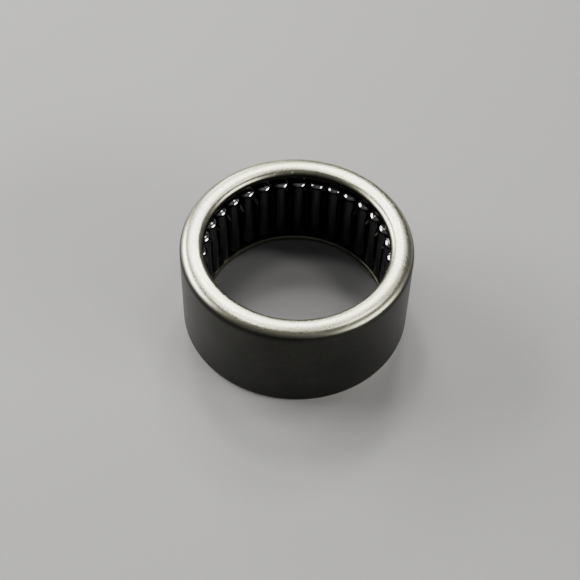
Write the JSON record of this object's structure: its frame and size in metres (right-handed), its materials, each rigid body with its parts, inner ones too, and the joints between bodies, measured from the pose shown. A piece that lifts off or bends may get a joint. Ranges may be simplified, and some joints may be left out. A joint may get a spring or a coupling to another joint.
{
  "type": "needle roller bearing",
  "caption": "Drawn-cup needle roller bearing: a thin steel shell with lips at both ends, and a cage of needle rollers that carries a shaft.",
  "frame": {"origin": "centre of the lower end face, on the bearing's axis", "axes": "+Z along the bearing's axis, from the turned-in end that it stands on to the drawn end"},
  "size_m": [0.034, 0.034, 0.016],
  "materials": {
    "cup_steel": "satin",
    "cage_steel": "dark satin",
    "needle_steel": "polished"
  },
  "bodies": {
    "drawn_cup": {"drawn_cup": "cup_steel"},
    "cage": {"cage": "cage_steel"},
    "needle_01": {"needle_01": "needle_steel"},
    "needle_02": {"needle_02": "needle_steel"},
    "needle_03": {"needle_03": "needle_steel"},
    "needle_04": {"needle_04": "needle_steel"},
    "needle_05": {"needle_05": "needle_steel"},
    "needle_06": {"needle_06": "needle_steel"},
    "needle_07": {"needle_07": "needle_steel"},
    "needle_08": {"needle_08": "needle_steel"},
    "needle_09": {"needle_09": "needle_steel"},
    "needle_10": {"needle_10": "needle_steel"},
    "needle_11": {"needle_11": "needle_steel"},
    "needle_12": {"needle_12": "needle_steel"},
    "needle_13": {"needle_13": "needle_steel"},
    "needle_14": {"needle_14": "needle_steel"},
    "needle_15": {"needle_15": "needle_steel"},
    "needle_16": {"needle_16": "needle_steel"},
    "needle_17": {"needle_17": "needle_steel"},
    "needle_18": {"needle_18": "needle_steel"},
    "needle_19": {"needle_19": "needle_steel"},
    "needle_20": {"needle_20": "needle_steel"},
    "needle_21": {"needle_21": "needle_steel"},
    "needle_22": {"needle_22": "needle_steel"},
    "needle_23": {"needle_23": "needle_steel"},
    "needle_24": {"needle_24": "needle_steel"},
    "needle_25": {"needle_25": "needle_steel"},
    "needle_26": {"needle_26": "needle_steel"},
    "needle_27": {"needle_27": "needle_steel"},
    "needle_28": {"needle_28": "needle_steel"},
    "needle_29": {"needle_29": "needle_steel"},
    "needle_30": {"needle_30": "needle_steel"},
    "needle_31": {"needle_31": "needle_steel"},
    "needle_32": {"needle_32": "needle_steel"}
  },
  "joints": [
    {"name": "cage_spin", "type": "hinge", "parent": "drawn_cup", "child": "cage", "pos_m": [0, 0, 0.00773], "axis": [0, 0, 1], "continuous": true},
    {"name": "needle_01_spin", "type": "hinge", "parent": "cage", "child": "needle_01", "pos_m": [0.01398, 0.00278, 0.00773], "axis": [0, 0, 1], "continuous": true},
    {"name": "needle_02_spin", "type": "hinge", "parent": "cage", "child": "needle_02", "pos_m": [0.01317, 0.00545, 0.00773], "axis": [0, 0, 1], "continuous": true},
    {"name": "needle_03_spin", "type": "hinge", "parent": "cage", "child": "needle_03", "pos_m": [0.01185, 0.00792, 0.00773], "axis": [0, 0, 1], "continuous": true},
    {"name": "needle_04_spin", "type": "hinge", "parent": "cage", "child": "needle_04", "pos_m": [0.01008, 0.01008, 0.00773], "axis": [0, 0, 1], "continuous": true},
    {"name": "needle_05_spin", "type": "hinge", "parent": "cage", "child": "needle_05", "pos_m": [0.00792, 0.01185, 0.00773], "axis": [0, 0, 1], "continuous": true},
    {"name": "needle_06_spin", "type": "hinge", "parent": "cage", "child": "needle_06", "pos_m": [0.00545, 0.01317, 0.00773], "axis": [0, 0, 1], "continuous": true},
    {"name": "needle_07_spin", "type": "hinge", "parent": "cage", "child": "needle_07", "pos_m": [0.00278, 0.01398, 0.00773], "axis": [0, 0, 1], "continuous": true},
    {"name": "needle_08_spin", "type": "hinge", "parent": "cage", "child": "needle_08", "pos_m": [0, 0.01425, 0.00773], "axis": [0, 0, 1], "continuous": true},
    {"name": "needle_09_spin", "type": "hinge", "parent": "cage", "child": "needle_09", "pos_m": [-0.00278, 0.01398, 0.00773], "axis": [0, 0, 1], "continuous": true},
    {"name": "needle_10_spin", "type": "hinge", "parent": "cage", "child": "needle_10", "pos_m": [-0.00545, 0.01317, 0.00773], "axis": [0, 0, 1], "continuous": true},
    {"name": "needle_11_spin", "type": "hinge", "parent": "cage", "child": "needle_11", "pos_m": [-0.00792, 0.01185, 0.00773], "axis": [0, 0, 1], "continuous": true},
    {"name": "needle_12_spin", "type": "hinge", "parent": "cage", "child": "needle_12", "pos_m": [-0.01008, 0.01008, 0.00773], "axis": [0, 0, 1], "continuous": true},
    {"name": "needle_13_spin", "type": "hinge", "parent": "cage", "child": "needle_13", "pos_m": [-0.01185, 0.00792, 0.00773], "axis": [0, 0, 1], "continuous": true},
    {"name": "needle_14_spin", "type": "hinge", "parent": "cage", "child": "needle_14", "pos_m": [-0.01317, 0.00545, 0.00773], "axis": [0, 0, 1], "continuous": true},
    {"name": "needle_15_spin", "type": "hinge", "parent": "cage", "child": "needle_15", "pos_m": [-0.01398, 0.00278, 0.00773], "axis": [0, 0, 1], "continuous": true},
    {"name": "needle_16_spin", "type": "hinge", "parent": "cage", "child": "needle_16", "pos_m": [-0.01425, 0, 0.00773], "axis": [0, 0, 1], "continuous": true},
    {"name": "needle_17_spin", "type": "hinge", "parent": "cage", "child": "needle_17", "pos_m": [-0.01398, -0.00278, 0.00773], "axis": [0, 0, 1], "continuous": true},
    {"name": "needle_18_spin", "type": "hinge", "parent": "cage", "child": "needle_18", "pos_m": [-0.01317, -0.00545, 0.00773], "axis": [0, 0, 1], "continuous": true},
    {"name": "needle_19_spin", "type": "hinge", "parent": "cage", "child": "needle_19", "pos_m": [-0.01185, -0.00792, 0.00773], "axis": [0, 0, 1], "continuous": true},
    {"name": "needle_20_spin", "type": "hinge", "parent": "cage", "child": "needle_20", "pos_m": [-0.01008, -0.01008, 0.00773], "axis": [0, 0, 1], "continuous": true},
    {"name": "needle_21_spin", "type": "hinge", "parent": "cage", "child": "needle_21", "pos_m": [-0.00792, -0.01185, 0.00773], "axis": [0, 0, 1], "continuous": true},
    {"name": "needle_22_spin", "type": "hinge", "parent": "cage", "child": "needle_22", "pos_m": [-0.00545, -0.01317, 0.00773], "axis": [0, 0, 1], "continuous": true},
    {"name": "needle_23_spin", "type": "hinge", "parent": "cage", "child": "needle_23", "pos_m": [-0.00278, -0.01398, 0.00773], "axis": [0, 0, 1], "continuous": true},
    {"name": "needle_24_spin", "type": "hinge", "parent": "cage", "child": "needle_24", "pos_m": [0, -0.01425, 0.00773], "axis": [0, 0, 1], "continuous": true},
    {"name": "needle_25_spin", "type": "hinge", "parent": "cage", "child": "needle_25", "pos_m": [0.00278, -0.01398, 0.00773], "axis": [0, 0, 1], "continuous": true},
    {"name": "needle_26_spin", "type": "hinge", "parent": "cage", "child": "needle_26", "pos_m": [0.00545, -0.01317, 0.00773], "axis": [0, 0, 1], "continuous": true},
    {"name": "needle_27_spin", "type": "hinge", "parent": "cage", "child": "needle_27", "pos_m": [0.00792, -0.01185, 0.00773], "axis": [0, 0, 1], "continuous": true},
    {"name": "needle_28_spin", "type": "hinge", "parent": "cage", "child": "needle_28", "pos_m": [0.01008, -0.01008, 0.00773], "axis": [0, 0, 1], "continuous": true},
    {"name": "needle_29_spin", "type": "hinge", "parent": "cage", "child": "needle_29", "pos_m": [0.01185, -0.00792, 0.00773], "axis": [0, 0, 1], "continuous": true},
    {"name": "needle_30_spin", "type": "hinge", "parent": "cage", "child": "needle_30", "pos_m": [0.01317, -0.00545, 0.00773], "axis": [0, 0, 1], "continuous": true},
    {"name": "needle_31_spin", "type": "hinge", "parent": "cage", "child": "needle_31", "pos_m": [0.01398, -0.00278, 0.00773], "axis": [0, 0, 1], "continuous": true},
    {"name": "needle_32_spin", "type": "hinge", "parent": "cage", "child": "needle_32", "pos_m": [0.01425, 0, 0.00773], "axis": [0, 0, 1], "continuous": true}
  ],
  "couplings": [
    {"joint": "needle_01_spin", "follows": "cage_spin", "ratio": -12.4},
    {"joint": "needle_02_spin", "follows": "cage_spin", "ratio": -12.4},
    {"joint": "needle_03_spin", "follows": "cage_spin", "ratio": -12.4},
    {"joint": "needle_04_spin", "follows": "cage_spin", "ratio": -12.4},
    {"joint": "needle_05_spin", "follows": "cage_spin", "ratio": -12.4},
    {"joint": "needle_06_spin", "follows": "cage_spin", "ratio": -12.4},
    {"joint": "needle_07_spin", "follows": "cage_spin", "ratio": -12.4},
    {"joint": "needle_08_spin", "follows": "cage_spin", "ratio": -12.4},
    {"joint": "needle_09_spin", "follows": "cage_spin", "ratio": -12.4},
    {"joint": "needle_10_spin", "follows": "cage_spin", "ratio": -12.4},
    {"joint": "needle_11_spin", "follows": "cage_spin", "ratio": -12.4},
    {"joint": "needle_12_spin", "follows": "cage_spin", "ratio": -12.4},
    {"joint": "needle_13_spin", "follows": "cage_spin", "ratio": -12.4},
    {"joint": "needle_14_spin", "follows": "cage_spin", "ratio": -12.4},
    {"joint": "needle_15_spin", "follows": "cage_spin", "ratio": -12.4},
    {"joint": "needle_16_spin", "follows": "cage_spin", "ratio": -12.4},
    {"joint": "needle_17_spin", "follows": "cage_spin", "ratio": -12.4},
    {"joint": "needle_18_spin", "follows": "cage_spin", "ratio": -12.4},
    {"joint": "needle_19_spin", "follows": "cage_spin", "ratio": -12.4},
    {"joint": "needle_20_spin", "follows": "cage_spin", "ratio": -12.4},
    {"joint": "needle_21_spin", "follows": "cage_spin", "ratio": -12.4},
    {"joint": "needle_22_spin", "follows": "cage_spin", "ratio": -12.4},
    {"joint": "needle_23_spin", "follows": "cage_spin", "ratio": -12.4},
    {"joint": "needle_24_spin", "follows": "cage_spin", "ratio": -12.4},
    {"joint": "needle_25_spin", "follows": "cage_spin", "ratio": -12.4},
    {"joint": "needle_26_spin", "follows": "cage_spin", "ratio": -12.4},
    {"joint": "needle_27_spin", "follows": "cage_spin", "ratio": -12.4},
    {"joint": "needle_28_spin", "follows": "cage_spin", "ratio": -12.4},
    {"joint": "needle_29_spin", "follows": "cage_spin", "ratio": -12.4},
    {"joint": "needle_30_spin", "follows": "cage_spin", "ratio": -12.4},
    {"joint": "needle_31_spin", "follows": "cage_spin", "ratio": -12.4},
    {"joint": "needle_32_spin", "follows": "cage_spin", "ratio": -12.4}
  ]
}
